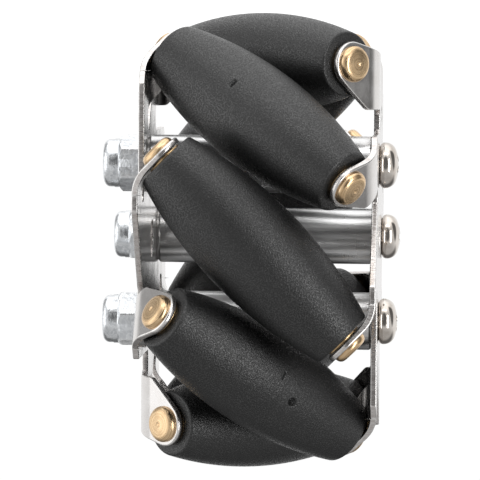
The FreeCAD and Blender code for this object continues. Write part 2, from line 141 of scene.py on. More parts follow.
# How fine the meshes are: sides of a full turn, then steps of a curve or segments of a rounded edge
ROLLER_SIDES = 120
HEAD_SIDES = 72
TUBE_SIDES = 96
NUT_SIDES = 144
CROWN_STEPS = 56
ROLLER_EDGE_STEPS = 5
AXLE_EDGE_STEPS = 8
SCREW_DOME_STEPS = 8
SCREW_SIDE_STEPS = 10
SCREW_FOOT_STEPS = 8
NUT_COLLAR_STEPS = 7
INSERT_EDGE_STEPS = 3
PLATE_EDGE_STEPS = 4
SMALL_EDGE_STEPS = 2
MERGE = 1e-4
NEAR = 10 * MERGE
SHARP_ANGLE = 35.0
FLAT_FACE_WEIGHT = 90


# Places on the wheel


def turn_about(axis, degrees):
    return Matrix.Rotation(math.radians(degrees), 4, axis)


def axle_place(station, flipped=False):
    """Puts a piece's Z axis along a station's axle, or against it when flipped."""
    swing = turn_about("Y", -STATION_STEP * (station - 1))
    lean = 90.0 - ROLLER_LEAN if flipped else -(90.0 + ROLLER_LEAN)
    return swing @ Matrix.Translation((ROLLER_OFFSET, 0, 0)) @ turn_about("X", lean)


def bolt_place(bolt, to_nut=False, spin=0.0):
    """Puts a piece's Z axis on a bolt, pointing to the screw head or to the nut."""
    swing = turn_about("Y", -(BOLT_FIRST_ANGLE + BOLT_STEP * (bolt - 1)))
    lean = turn_about("X", 90.0 if to_nut else -90.0)
    return swing @ Matrix.Translation((BOLT_CIRCLE, 0, 0)) @ lean @ turn_about("Z", spin)


# From a mesh to a piece


def new_object(bm, name):
    """Makes an object of the scene from a bmesh and frees the bmesh."""
    mesh = bpy.data.meshes.new(name)
    bm.to_mesh(mesh)
    bm.free()
    made = bpy.data.objects.new(name, mesh)
    bpy.context.scene.collection.objects.link(made)
    return made


def put_on_wheel(bm, name, place, finish, body, slot, *nodes):
    """Notes every vertex's own place, moves the piece to the wheel and lets it stand for its nodes."""
    own_place = bm.verts.layers.float_vector.new("own_place")
    for vert in bm.verts:
        vert[own_place] = vert.co
    bm.transform(Matrix.Scale(MM, 4) @ place)
    piece = new_object(bm, name)
    piece.data.shade_smooth()
    piece.data.set_sharp_from_angle(angle=math.radians(SHARP_ANGLE))
    piece.data.materials.append(finish)
    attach(piece, body)
    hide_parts(*nodes)


# Turned pieces: a half-section of edges in the XZ plane is spun about Z


def add_chain(bm, corners, start=None):
    """Edges through (radius, height) corners, after an earlier vertex if one is given.

    Gives the last vertex.
    """
    last = start
    for radius, height in corners:
        vert = bm.verts.new((radius, 0.0, height))
        if last is not None:
            bm.edges.new((last, vert))
        last = vert
    return last


def add_arc(bm, start, centre, degrees, steps):
    """Edges along an arc about a (radius, height) centre. Gives the last vertex."""
    made = bmesh.ops.spin(
        bm, geom=[start], cent=(centre[0], 0.0, centre[1]), axis=(0, 1, 0),
        angle=math.radians(degrees), steps=steps,
    )
    return next(part for part in made["geom_last"] if isinstance(part, bmesh.types.BMVert))


def close_chain(bm, last):
    """Joins the last vertex of a section to its first."""
    bm.verts.ensure_lookup_table()
    bm.edges.new((last, bm.verts[0]))


def spin_section(bm, sides):
    bmesh.ops.spin(
        bm, geom=bm.verts[:] + bm.edges[:], cent=(0, 0, 0), axis=(0, 0, 1),
        angle=math.tau, steps=sides, use_merge=True,
    )
    bmesh.ops.remove_doubles(bm, verts=bm.verts, dist=MERGE)
    bmesh.ops.recalc_face_normals(bm, faces=bm.faces)


def ring_section(corners, sides):
    """A closed section that doesn't reach the axis, such as a tube's."""
    bm = bmesh.new()
    close_chain(bm, add_chain(bm, corners))
    spin_section(bm, sides)
    return bm


def on_ring(vert, radius, height):
    return abs(vert.co.xy.length - radius) < NEAR and abs(vert.co.z - height) < NEAR


def round_ring(bm, radius, height, size, segments=SMALL_EDGE_STEPS):
    """Rounds the circular edge at a radius and height."""
    edges = [edge for edge in bm.edges if all(on_ring(vert, radius, height) for vert in edge.verts)]
    bmesh.ops.bevel(
        bm, geom=edges, offset=size, offset_type="OFFSET", segments=segments,
        profile=0.5, affect="EDGES", material=-1,
    )


# Roller


def roller_crown():
    """The crown's radius, its centre's distance from the roller's axis, which is negative, and the
    barrel's radius at its ends.
    """
    lean = math.radians(ROLLER_LEAN)
    swing = ROLLER_HALF * math.sin(lean)
    distance = math.hypot(ROLLER_OFFSET, swing)
    slope = math.hypot(ROLLER_OFFSET, swing * math.cos(lean)) / distance
    end_radius = (WHEEL_RADIUS - distance) / slope
    drop = ROLLER_RADIUS - end_radius
    radius = (ROLLER_HALF ** 2 + drop ** 2) / (2 * drop)
    return radius, ROLLER_RADIUS - radius, end_radius


def barrel_radius(along):
    radius, centre, _ = roller_crown()
    return centre + math.sqrt(radius ** 2 - along ** 2)


def groove_depth(half_length, half_width, depth):
    """A groove across the spot, round the barrel, with faded ends."""

    def depth_at(along, across):
        past_end = max(abs(across) - half_length, 0.0)
        return depth * math.exp(-((along / half_width) ** 2) - (past_end / half_width) ** 2)

    return depth_at


def ring_depth(radius, half_width, depth):
    """A round dimple with a small bump left in its middle."""

    def depth_at(along, across):
        return depth * math.exp(-(((math.hypot(along, across) - radius) / half_width) ** 2))

    return depth_at


# Marks that the mould left: station, distance along the roller, turn about its axis, shape
MOULD_MARKS = (
    (2, -2.14, 18.1, groove_depth(0.36, 0.2, 0.38)),
    (8, 2.94, -38.3, ring_depth(0.32, 0.2, 0.4)),
    (8, -0.08, -59.2, groove_depth(0.45, 0.12, 0.16)),
)
MARK_PATCH = 1.5
MARK_CUTS = 6


def press_mark(bm, along, turn, depth_at):
    """Makes the barrel's skin finer round a spot and pushes it in."""

    def from_spot(vert):
        angle = math.atan2(vert.co.y, vert.co.x) - math.radians(turn)
        return vert.co.z - along, math.remainder(angle, math.tau) * ROLLER_RADIUS

    def in_patch(vert):
        on_skin = vert.co.xy.length > (ROLLER_RADIUS + BUSH_RADIUS) / 2
        return on_skin and math.hypot(*from_spot(vert)) < MARK_PATCH

    edges = [edge for edge in bm.edges if all(in_patch(vert) for vert in edge.verts)]
    bmesh.ops.subdivide_edges(bm, edges=edges, cuts=MARK_CUTS, use_grid_fill=True)
    for vert in bm.verts:
        if in_patch(vert):
            depth = depth_at(*from_spot(vert))
            vert.co.xy *= (barrel_radius(vert.co.z) - depth) / vert.co.xy.length


def roller_barrel(station):
    """A crowned barrel with a bore for its bushes, rounded ends and its station's moulding marks."""
    radius, centre, end_radius = roller_crown()
    half_sweep = math.degrees(math.asin(ROLLER_HALF / radius))
    bm = bmesh.new()
    first = add_chain(bm, [(BUSH_RADIUS, -ROLLER_HALF), (end_radius, -ROLLER_HALF)])
    last = add_arc(bm, first, (centre, 0.0), -2 * half_sweep, CROWN_STEPS)
    close_chain(bm, add_chain(bm, [(BUSH_RADIUS, ROLLER_HALF)], last))
    spin_section(bm, ROLLER_SIDES)
    turn_at_edge = 90.0 - half_sweep
    edge_offset = ROLLER_EDGE_RADIUS * math.tan(math.radians(turn_at_edge / 2))
    for end in (-ROLLER_HALF, ROLLER_HALF):
        round_ring(bm, end_radius, end, edge_offset, ROLLER_EDGE_STEPS)
    for marked, along, turn, depth_at in MOULD_MARKS:
        if marked == station:
            press_mark(bm, along, turn, depth_at)
    return bm


# Bush and axle


def flanged_bush():
    foot = ROLLER_HALF - BUSH_LENGTH
    bm = ring_section(
        [
            (BUSH_BORE, foot), (BUSH_RADIUS, foot), (BUSH_RADIUS, ROLLER_HALF),
            (BUSH_FLANGE_RADIUS, ROLLER_HALF), (BUSH_FLANGE_RADIUS, BUSH_FLANGE_TOP),
            (BUSH_BORE, BUSH_FLANGE_TOP),
        ],
        HEAD_SIDES,
    )
    for height in (ROLLER_HALF, BUSH_FLANGE_TOP):
        round_ring(bm, BUSH_FLANGE_RADIUS, height, BUSH_FLANGE_EDGE)
    return bm


def riveted_axle():
    """A pin with a turned head at each end and a centre mark in each head."""
    rim_top = AXLE_HEAD_TOP - AXLE_HEAD_CROWN
    outer = [
        (AXLE_RADIUS, TAB_OUTER),
        (AXLE_HEAD_RADIUS, TAB_OUTER),
        (AXLE_HEAD_RADIUS, rim_top),
        (AXLE_CENTRE_RADIUS, AXLE_HEAD_TOP),
        (0.0, AXLE_HEAD_TOP - AXLE_CENTRE_DEPTH),
    ]
    lower = [(radius, -height) for radius, height in reversed(outer)]
    bm = bmesh.new()
    add_chain(bm, lower + outer)
    spin_section(bm, HEAD_SIDES)
    for side in (-1, 1):
        round_ring(bm, AXLE_HEAD_RADIUS, side * rim_top, AXLE_HEAD_EDGE, AXLE_EDGE_STEPS)
        round_ring(bm, AXLE_HEAD_RADIUS, side * TAB_OUTER, AXLE_HEAD_FOOT)
    return bm


# Spacer, screw and nut


def spacer_tube():
    rim = SPACER_RADIUS - SPACER_CHAMFER
    shoulder = PLATE_INNER - SPACER_CHAMFER
    bm = ring_section(
        [
            (BOLT_HOLE_RADIUS, -PLATE_INNER), (rim, -PLATE_INNER), (SPACER_RADIUS, -shoulder),
            (SPACER_RADIUS, shoulder), (rim, PLATE_INNER), (BOLT_HOLE_RADIUS, PLATE_INNER),
        ],
        TUBE_SIDES,
    )
    for height in (-shoulder, shoulder):
        round_ring(bm, SPACER_RADIUS, height, SPACER_EDGE)
    return bm


def screw_blank():
    """The screw without its recess: shank, flat seat, rounded side and slightly domed top."""
    dome_base = SCREW_HEAD_TOP - SCREW_HEAD_CROWN
    reach = SCREW_HEAD_CROWN - SCREW_HEAD_ROUND
    edge_radius = SCREW_HEAD_RADIUS - SCREW_HEAD_ROUND
    edge_height = dome_base + math.sqrt(reach ** 2 - edge_radius ** 2)
    dome_sweep = math.degrees(math.asin(edge_radius / reach))
    bm = bmesh.new()
    top = add_chain(bm, [(0.0, SCREW_HEAD_TOP)])
    stop = add_arc(bm, top, (0.0, dome_base), dome_sweep, SCREW_DOME_STEPS)
    side = add_arc(bm, stop, (edge_radius, edge_height), 90.0 - dome_sweep, SCREW_SIDE_STEPS)
    add_chain(
        bm,
        [
            (SCREW_HEAD_RADIUS, PLATE_OUTER), (SCREW_RADIUS, PLATE_OUTER),
            (SCREW_RADIUS, SCREW_TIP_CHAMFER - SCREW_TIP),
            (SCREW_RADIUS - SCREW_TIP_CHAMFER, -SCREW_TIP), (0.0, -SCREW_TIP),
        ],
        side,
    )
    spin_section(bm, HEAD_SIDES)
    round_ring(bm, SCREW_HEAD_RADIUS, PLATE_OUTER, SCREW_HEAD_FOOT, SCREW_FOOT_STEPS)
    return bm


def cross_cutter():
    """A cross with tapered arms that cuts the driver recess."""
    bm = bmesh.new()
    bmesh.ops.create_cube(bm, size=RECESS_WIDTH)
    sides = [face for face in bm.faces if round(face.normal.z) == 0]
    arms = bmesh.ops.extrude_discrete_faces(bm, faces=sides)["faces"]
    for arm in arms:
        bmesh.ops.translate(bm, verts=arm.verts, vec=arm.normal * (RECESS_SPAN - RECESS_WIDTH) / 2)
    height = RECESS_DEPTH + CUTTER_ABOVE_HEAD
    bmesh.ops.scale(bm, verts=bm.verts, vec=(1, 1, height / RECESS_WIDTH))
    low = [vert for vert in bm.verts if vert.co.z < 0]
    bmesh.ops.scale(bm, verts=low, vec=(RECESS_TAPER, RECESS_TAPER, 1))
    bmesh.ops.translate(bm, verts=bm.verts, vec=(0, 0, SCREW_HEAD_TOP - RECESS_DEPTH + height / 2))
    return bm


def pan_head_screw():
    """The screw blank with the cross cut out of its head."""
    blank = new_object(screw_blank(), "screw_blank")
    cutter = new_object(cross_cutter(), "recess_cutter")
    cut = blank.modifiers.new("recess", "BOOLEAN")
    cut.object = cutter
    cut.operation = "DIFFERENCE"
    cut.solver = "EXACT"
    depsgraph = bpy.context.evaluated_depsgraph_get()
    mesh = bpy.data.meshes.new_from_object(blank.evaluated_get(depsgraph))
    bm = bmesh.new()
    bm.from_mesh(mesh)
    for made in (blank, cutter):
        old = made.data
        bpy.data.objects.remove(made)
        bpy.data.meshes.remove(old)
    bpy.data.meshes.remove(mesh)
    bmesh.ops.remove_doubles(bm, verts=bm.verts, dist=MERGE)
    return bm


def hexagon_reach(angle):
    """How far the hexagon's wall is from its axis at an angle, with its corners rounded."""
    half = math.radians(HEXAGON_HALF)
    from_corner = (angle - HEXAGON_HALF) % HEXAGON_STEP
    from_corner = math.radians(min(from_corner, HEXAGON_STEP - from_corner))
    centre = (NUT_FLAT_REACH - NUT_CORNER_ROUND) / math.cos(half)
    across = centre * math.sin(from_corner)
    if across >= NUT_CORNER_ROUND * math.sin(half):
        return NUT_FLAT_REACH / math.cos(half - from_corner)
    return centre * math.cos(from_corner) + math.sqrt(NUT_CORNER_ROUND ** 2 - across ** 2)


def shape_hexagon(bm):
    """Moves the vertices at the spun radius onto the hexagon, with sloped corners at both ends."""
    corner_reach = NUT_FLAT_REACH / math.cos(math.radians(HEXAGON_HALF))
    slope = NUT_CORNER_DROP / (corner_reach - NUT_FLAT_REACH)
    middle = (PLATE_OUTER + NUT_HEX_TOP) / 2
    for vert in bm.verts:
        if abs(vert.co.xy.length - NUT_SPUN_RADIUS) > NEAR:
            continue
        reach = hexagon_reach(math.degrees(math.atan2(vert.co.y, vert.co.x)))
        drop = NUT_EDGE_DROP + slope * (reach - NUT_FLAT_REACH)
        vert.co.xy *= reach / NUT_SPUN_RADIUS
        vert.co.z += drop if vert.co.z < middle else -drop


def lock_nut():
    """A hexagon, a round collar with a rolled end, and a lip over the insert."""
    lip_radius = (NUT_BORE + INSERT_RADIUS) / 2
    insert_top = NUT_TOP - NUT_LIP_THICKNESS
    bm = ring_section(
        [
            (NUT_BORE, PLATE_OUTER), (NUT_FLAT_REACH - NUT_SEAT_INSET, PLATE_OUTER),
            (NUT_SPUN_RADIUS, PLATE_OUTER), (NUT_SPUN_RADIUS, NUT_HEX_TOP),
            (NUT_SHOULDER_RADIUS + NUT_SHOULDER_LEDGE, NUT_HEX_TOP), (NUT_SHOULDER_RADIUS, NUT_HEX_TOP),
            (NUT_SHOULDER_RADIUS, NUT_SHOULDER_TOP), (NUT_COLLAR_RADIUS, NUT_SHOULDER_TOP),
            (NUT_COLLAR_RADIUS, NUT_TOP), (lip_radius, NUT_TOP), (lip_radius, insert_top),
            (INSERT_RADIUS, insert_top), (INSERT_RADIUS, NUT_HEX_TOP), (NUT_BORE, NUT_HEX_TOP),
        ],
        NUT_SIDES,
    )
    round_ring(bm, NUT_COLLAR_RADIUS, NUT_TOP, NUT_COLLAR_ROUND, NUT_COLLAR_STEPS)
    round_ring(bm, lip_radius, NUT_TOP, NUT_LIP_EDGE)
    shape_hexagon(bm)
    return bm


def insert_ring():
    top = NUT_TOP - NUT_LIP_THICKNESS
    bm = ring_section(
        [(NUT_BORE, NUT_HEX_TOP), (INSERT_RADIUS, NUT_HEX_TOP), (INSERT_RADIUS, top), (NUT_BORE, top)],
        HEAD_SIDES,
    )
    round_ring(bm, NUT_BORE, top, INSERT_EDGE, INSERT_EDGE_STEPS)
    return bm


# Stamped plates: merged copies of the frame's own meshes, with every cut edge broken

SHEET, CUT_EDGE, BROKEN_EDGE = range(3)


def plate_tabs(side):
    """Where each axle leaves its tab's outer face, in metres, and the axle's direction."""
    tabs = []
    for station in STATIONS:
        place = axle_place(station)
        axis = place.to_3x3() @ Vector((0, 0, 1))
        tabs.append(((place.translation + axis * side * TAB_OUTER) * MM, axis))
    return tabs


def is_sheet_face(face, tabs):
    """True on the rolled faces of the sheet, flat, bent or on a tab, and false along its cut edges."""
    if abs(face.normal.y) > SHEET_NORMAL_Y:
        return True
    centre = face.calc_center_median()
    _, axis = min(tabs, key=lambda tab: (tab[0] - centre).length)
    return abs(face.normal.dot(axis)) > TAB_NORMAL_MATCH


def edge_rounding(edge, tabs):
    """How far an edge is broken, in millimetres: most round the tabs' ends, where it is rolled over.

    An edge's far end decides, so that edges which meet at a bend are broken alike.
    """
    if not edge.is_manifold or edge.calc_face_angle() < math.radians(PLATE_SHARP):
        return 0.0
    reach = min(max((spot - vert.co).length for vert in edge.verts) for spot, _ in tabs) / MM
    near, far = TAB_RIM_REACH
    share = min(max((far - reach) / (far - near), 0.0), 1.0)
    return PLATE_EDGE + (TAB_RIM_EDGE - PLATE_EDGE) * share


def break_plate_edges(piece):
    """Rounds the weighted edges and keeps the flat faces' shading flat."""
    rounding = piece.modifiers.new("broken_edges", "BEVEL")
    rounding.limit_method = "WEIGHT"
    rounding.width = TAB_RIM_EDGE * MM
    rounding.segments = PLATE_EDGE_STEPS
    rounding.profile = 0.5
    rounding.use_clamp_overlap = False
    rounding.material = BROKEN_EDGE
    flatten = piece.modifiers.new("flat_faces", "WEIGHTED_NORMAL")
    flatten.weight = FLAT_FACE_WEIGHT


def stamped_plate(node, name, side, finishes):
    bm = bmesh.new()
    bm.from_mesh(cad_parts[node].data)
    bmesh.ops.remove_doubles(bm, verts=bm.verts, dist=MERGE * MM)
    bmesh.ops.dissolve_limit(
        bm, angle_limit=math.radians(FLAT_ANGLE), verts=bm.verts, edges=bm.edges, delimit=set()
    )
    tabs = plate_tabs(side)
    for face in bm.faces:
        face.material_index = SHEET if is_sheet_face(face, tabs) else CUT_EDGE
    weights = bm.edges.layers.float.new("bevel_weight_edge")
    for edge in bm.edges:
        edge[weights] = edge_rounding(edge, tabs) / TAB_RIM_EDGE
    piece = new_object(bm, name)
    piece.data.shade_smooth()
    for finish in finishes:
        piece.data.materials.append(finish)
    break_plate_edges(piece)
    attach(piece, "frame")
    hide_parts(node)


# Shader building


class Amount:
    """A shader value in a sum: each operator adds one Math node."""

    def __init__(self, shading, socket):
        self.shading = shading
        self.socket = socket

    def work(self, operation, *values):
        node = self.shading.add("ShaderNodeMath", {"operation": operation}, dict(enumerate(values)))
        return Amount(self.shading, node.outputs[0])

    def __add__(self, other):
        return self.work("ADD", self, other)

    def __sub__(self, other):
        return self.work("SUBTRACT", self, other)

    def __rsub__(self, other):
        return self.work("SUBTRACT", other, self)

    def __mul__(self, other):
        return self.work("MULTIPLY", self, other)

    __radd__ = __add__
    __rmul__ = __mul__


class Shading:
    """A tree of shader nodes."""

    def __init__(self, tree):
        self.tree = tree
        self.tree.nodes.clear()

    def add(self, kind, settings=None, sockets=None):
        node = self.tree.nodes.new(kind)
        for name, setting in (settings or {}).items():
            setattr(node, name, setting)
        for key, source in (sockets or {}).items():
            self.feed(node.inputs[key], source)
        return node

    def feed(self, socket, source):
        if isinstance(source, Amount):
            source = source.socket
        if isinstance(source, bpy.types.NodeSocket):
            self.tree.links.new(source, socket)
        else:
            socket.default_value = source

    def vector_work(self, operation, first, second=None, output=0):
        sockets = {0: first} if second is None else {0: first, 1: second}
        return self.add("ShaderNodeVectorMath", {"operation": operation}, sockets).outputs[output]

    def place(self, scale=(1, 1, 1)):
        """Object coordinates in millimetres, stretched if need be."""
        place = self.add("ShaderNodeTexCoord").outputs["Object"]
        scale = [part / MM for part in scale]
        return self.add("ShaderNodeMapping", None, {"Vector": place, "Scale": scale}).outputs[0]

    def parts(self, vector):
        node = self.add("ShaderNodeSeparateXYZ", None, {0: vector})
        return [Amount(self, socket) for socket in node.outputs]

    def noise(self, vector, scale, detail=2.0, roughness=0.5, distortion=0.0):
        node = self.add(
            "ShaderNodeTexNoise", None,
            {
                "Vector": vector, "Scale": scale, "Detail": detail, "Roughness": roughness,
                "Distortion": distortion,
            },
        )
        return Amount(self, node.outputs[0])

    def lines(self, amount, scale, detail=2.0):
        """Uneven lines across the way that an amount grows."""
        node = self.add(
            "ShaderNodeTexNoise", {"noise_dimensions": "1D"},
            {"W": amount, "Scale": scale, "Detail": detail},
        )
        return Amount(self, node.outputs[0])

    def rise(self, amount, low, high, start=0.0, end=1.0):
        """A smooth step of an amount, from start at low to end at high."""
        node = self.add(
            "ShaderNodeMapRange", {"interpolation_type": "SMOOTHSTEP"},
            {"Value": amount, "From Min": low, "From Max": high, "To Min": start, "To Max": end},
        )
        return Amount(self, node.outputs[0])

    def blend(self, factor, first, second):
        """One colour that runs into another."""
        node = self.add("ShaderNodeMix", {"data_type": "RGBA"}, {0: factor, 6: first, 7: second})
        return node.outputs[2]


class Finish(Shading):
    """A material, built node by node round one surface shader."""

    def __init__(self, name, constants):
        self.material = bpy.data.materials.new(name)
        self.material.use_nodes = True
        super().__init__(self.material.node_tree)
        self.surface = self.add("ShaderNodeBsdfPrincipled", None, constants)
        self.add("ShaderNodeOutputMaterial", None, {"Surface": self.surface.outputs["BSDF"]})

    def own_place(self):
        """The piece's own coordinates in millimetres, with Z along its axis."""
        return self.add("ShaderNodeAttribute", {"attribute_name": "own_place"}).outputs["Vector"]

    def from_axis(self, vector):
        """Distance from the piece's own axis."""
        flat = self.vector_work("MULTIPLY", vector, (1, 1, 0))
        return Amount(self, self.vector_work("LENGTH", flat, output="Value"))

    def relief(self, height, depth, over=None):
        """A bump whose full height is a depth in millimetres, on top of an earlier one."""
        sockets = {"Height": height, "Strength": 1.0, "Distance": depth * MM}
        if over is not None:
            sockets["Normal"] = over
        return self.add("ShaderNodeBump", None, sockets).outputs[0]

    def surface_from(self, colour, roughness, normal):
        self.feed(self.surface.inputs["Base Color"], colour)
        self.feed(self.surface.inputs["Roughness"], roughness)
        self.feed(self.surface.inputs["Normal"], normal)
        return self.material


def grey(level):
    return (level, level, level, 1.0)


# Finishes. Noise scales are in repeats to the millimetre and relief depths in millimetres.

RUBBER_DEEP = grey(0.001)
RUBBER_PALE = grey(0.004)
RUBBER_SPECK = grey(0.03)
AXLE_BRASS_PALE = (0.95, 0.71, 0.44, 1)
AXLE_BRASS_DEEP = (0.6, 0.4, 0.22, 1)
BUSH_BRASS_PALE = (0.84, 0.6, 0.33, 1)
BUSH_BRASS_DEEP = (0.55, 0.36, 0.17, 1)
SHEET_DEEP = (0.68, 0.655, 0.635, 1)
SHEET_PALE = (0.75, 0.73, 0.715, 1)
SHEET_SPECK = (0.86, 0.845, 0.83, 1)
SHEARED_DEEP = (0.56, 0.52, 0.5, 1)
SHEARED_PALE = (0.78, 0.75, 0.73, 1)
BROKEN_DEEP = (0.67, 0.645, 0.625, 1)
BROKEN_PALE = (0.83, 0.815, 0.8, 1)
STEEL_DEEP = grey(0.74)
STEEL_PALE = grey(0.9)
NICKEL_DEEP = (0.6, 0.545, 0.49, 1)
NICKEL_PALE = (0.71, 0.665, 0.62, 1)
ZINC_DEEP = (0.64, 0.66, 0.685, 1)
ZINC_PALE = (0.88, 0.9, 0.92, 1)
ZINC_RUBBED = grey(0.86)
NYLON_DEEP = (0.62, 0.61, 0.56, 1)
NYLON_PALE = (0.72, 0.71, 0.67, 1)
# Where most of a noise's values lie
NOISE_SPAN = (0.3, 0.7)


def roller_rubber():
    """Charcoal rubber with a fine moulded grain, paler and glossier on its high spots."""
    finish = Finish("roller_rubber", {"Specular IOR Level": 0.72})
    place = finish.place()
    grain = finish.noise(place, scale=5.4, detail=2.0, roughness=0.6)
    cloud = finish.noise(place, scale=0.2, detail=4.0)
    colour = finish.blend(finish.rise(cloud, *NOISE_SPAN), RUBBER_DEEP, RUBBER_PALE)
    colour = finish.blend(finish.rise(grain, low=0.47, high=0.7), colour, RUBBER_SPECK)
    roughness = finish.rise(grain, low=0.4, high=0.62, start=0.5, end=0.17) + cloud * 0.1
    normal = finish.relief(grain, depth=0.07)
    return finish.surface_from(colour, roughness, normal)


def turned_brass(name, pale, deep):
    """Brass with fine rings from the lathe, uneven tarnish and slightly dented faces."""
    finish = Finish(name, {"Metallic": 1.0})
    own = finish.own_place()
    along = finish.parts(own)[2]
    rings = finish.lines(finish.from_axis(own) + along * 0.3, scale=9.0)
    place = finish.place()
    dents = finish.noise(place, scale=0.45, detail=1.0)
    tarnish = finish.noise(place, scale=1.1, detail=4.0)
    fine = finish.noise(place, scale=9.0)
    colour = finish.blend(finish.rise(rings, *NOISE_SPAN, start=0.1), deep, pale)
    colour = finish.blend(finish.rise(tarnish, low=0.45, high=0.8, end=0.5), colour, deep)
    roughness = 0.16 + rings * 0.12 + tarnish * 0.12
    normal = finish.relief(dents, depth=0.12)
    normal = finish.relief(rings, depth=0.02, over=normal)
    normal = finish.relief(fine, depth=0.005, over=normal)
    return finish.surface_from(colour, roughness, normal)


def polished_sheet():
    """Bright rolled steel with fine scratches along the sheet, pale specks and slightly uneven gloss."""
    finish = Finish("polished_sheet", {"Metallic": 1.0})
    place = finish.place()
    drawn = finish.noise(finish.place((9.0, 9.0, 0.35)), scale=1.0, detail=3.0)
    cloud = finish.noise(place, scale=0.35, detail=3.0)
    waves = finish.noise(place, scale=0.16, detail=1.0)
    speckle = finish.noise(place, scale=6.0)
    colour = finish.blend(finish.rise(cloud, *NOISE_SPAN), SHEET_DEEP, SHEET_PALE)
    colour = finish.blend(finish.rise(speckle, low=0.5, high=0.75, end=0.5), colour, SHEET_SPECK)
    dull = finish.rise(cloud, low=0.4, high=0.75)
    roughness = 0.1 + drawn * 0.08 + dull * 0.08 + speckle * 0.08
    normal = finish.relief(waves, depth=0.03)
    normal = finish.relief(drawn, depth=0.0015, over=normal)
    return finish.surface_from(colour, roughness, normal)


def sheared_edge():
    """The sheet's cut edge, with shear marks across its thickness."""
    finish = Finish("sheared_edge", {"Metallic": 1.0})
    grain = finish.noise(finish.place((3.0, 0.4, 3.0)), scale=1.6, detail=3.0)
    cloud = finish.noise(finish.place(), scale=0.7, detail=3.0)
    colour = finish.blend(finish.rise(grain, *NOISE_SPAN), SHEARED_DEEP, SHEARED_PALE)
    roughness = 0.14 + grain * 0.16 + cloud * 0.1
    normal = finish.relief(grain, depth=0.02)
    return finish.surface_from(colour, roughness, normal)


def broken_edge():
    """The rounded line between face and cut edge, rubbed bright, with small nicks."""
    finish = Finish("broken_edge", {"Metallic": 1.0})
    nicks = finish.noise(finish.place(), scale=1.1, detail=4.0)
    colour = finish.blend(finish.rise(nicks, low=0.35, high=0.6), BROKEN_DEEP, BROKEN_PALE)
    roughness = 0.2 + nicks * 0.14
    normal = finish.relief(nicks, depth=0.008)
    return finish.surface_from(colour, roughness, normal)


def turned_steel():
    """Satin steel with faint lines round it from the lathe and drawn marks along it."""
    finish = Finish("turned_steel", {"Metallic": 1.0})
    along = finish.parts(finish.own_place())[2]
    lines = finish.lines(along, scale=5.0, detail=3.0)
    drawn = finish.noise(finish.place((4.0, 0.2, 4.0)), scale=1.0, detail=3.0)
    cloud = finish.noise(finish.place(), scale=0.6, detail=3.0)
    colour = finish.blend(finish.rise(drawn, *NOISE_SPAN), STEEL_DEEP, STEEL_PALE)
    roughness = 0.2 + lines * 0.08 + cloud * 0.12
    normal = finish.relief(lines, depth=0.0015)
    normal = finish.relief(drawn, depth=0.006, over=normal)
    return finish.surface_from(colour, roughness, normal)


def nickel_plate():
    """Warm nickel over a smooth head, with faint handling marks."""
    finish = Finish("nickel_plate", {"Metallic": 1.0})
    place = finish.place()
    cloud = finish.noise(place, scale=0.9, detail=4.0)
    marks = finish.noise(place, scale=5.0, detail=3.0, distortion=0.6)
    colour = finish.blend(finish.rise(cloud, *NOISE_SPAN), NICKEL_DEEP, NICKEL_PALE)
    roughness = 0.04 + cloud * 0.06 + finish.rise(marks, low=0.55, high=0.75) * 0.06
    normal = finish.relief(marks, depth=0.004)
    return finish.surface_from(colour, roughness, normal)


def zinc_plate():
    """Satin zinc under a clear film, mottled, slightly wavy and rubbed at the hexagon's corners."""
    finish = Finish("zinc_plate", {"Metallic": 1.0, "Coat Weight": 0.25, "Coat Roughness": 0.08})
    place = finish.place()
    swirl = finish.noise(place, scale=1.3, detail=4.0, distortion=1.4)
    fine = finish.noise(place, scale=7.0)
    own = finish.own_place()
    rubbed = finish.rise(finish.from_axis(own), low=NUT_FLAT_REACH + 0.25, high=NUT_FLAT_REACH + 0.45)
    on_hexagon = finish.rise(finish.parts(own)[2], low=NUT_HEX_TOP - 0.1, high=NUT_HEX_TOP - 0.4)
    colour = finish.blend(finish.rise(swirl, *NOISE_SPAN), ZINC_DEEP, ZINC_PALE)
    colour = finish.blend(rubbed * 0.5, colour, ZINC_RUBBED)
    roughness = 0.08 + swirl * 0.24 + on_hexagon * 0.2 - rubbed * 0.1
    normal = finish.relief(swirl * (on_hexagon + 0.5), depth=0.07)
    normal = finish.relief(fine, depth=0.004, over=normal)
    return finish.surface_from(colour, roughness, normal)


def insert_nylon():
    """Natural nylon, a little cloudy."""
    finish = Finish("insert_nylon", {"Subsurface Weight": 0.1})
    cloud = finish.noise(finish.place(), scale=1.5, detail=3.0)
    colour = finish.blend(finish.rise(cloud, *NOISE_SPAN), NYLON_DEEP, NYLON_PALE)
    roughness = 0.45 + cloud * 0.15
    normal = finish.relief(cloud, depth=0.02)
    return finish.surface_from(colour, roughness, normal)


# The wheel

rubber = roller_rubber()
axle_brass = turned_brass("axle_brass", AXLE_BRASS_PALE, AXLE_BRASS_DEEP)
bush_brass = turned_brass("bush_brass", BUSH_BRASS_PALE, BUSH_BRASS_DEEP)
steel = turned_steel()
nickel = nickel_plate()
zinc = zinc_plate()
nylon = insert_nylon()
plate_finishes = (polished_sheet(), sheared_edge(), broken_edge())

stamped_plate("plate_head_side", "stamped_plate_head_side", 1, plate_finishes)
stamped_plate("plate_nut_side", "stamped_plate_nut_side", -1, plate_finishes)

for station in STATIONS:
    turning = f"roller_{station}_turning"
    put_on_wheel(
        roller_barrel(station), f"barrel_{station}", axle_place(station),
        rubber, turning, "roller_rubber", f"roller_{station}",
    )
    for side, flipped in (("head_side", False), ("nut_side", True)):
        put_on_wheel(
            flanged_bush(), f"flanged_bush_{station}_{side}", axle_place(station, flipped),
            bush_brass, turning, "bush_brass", f"bush_{station}_{side}",
        )
    put_on_wheel(
        riveted_axle(), f"riveted_axle_{station}", axle_place(station),
        axle_brass, "frame", "axle_brass", f"axle_{station}",
    )

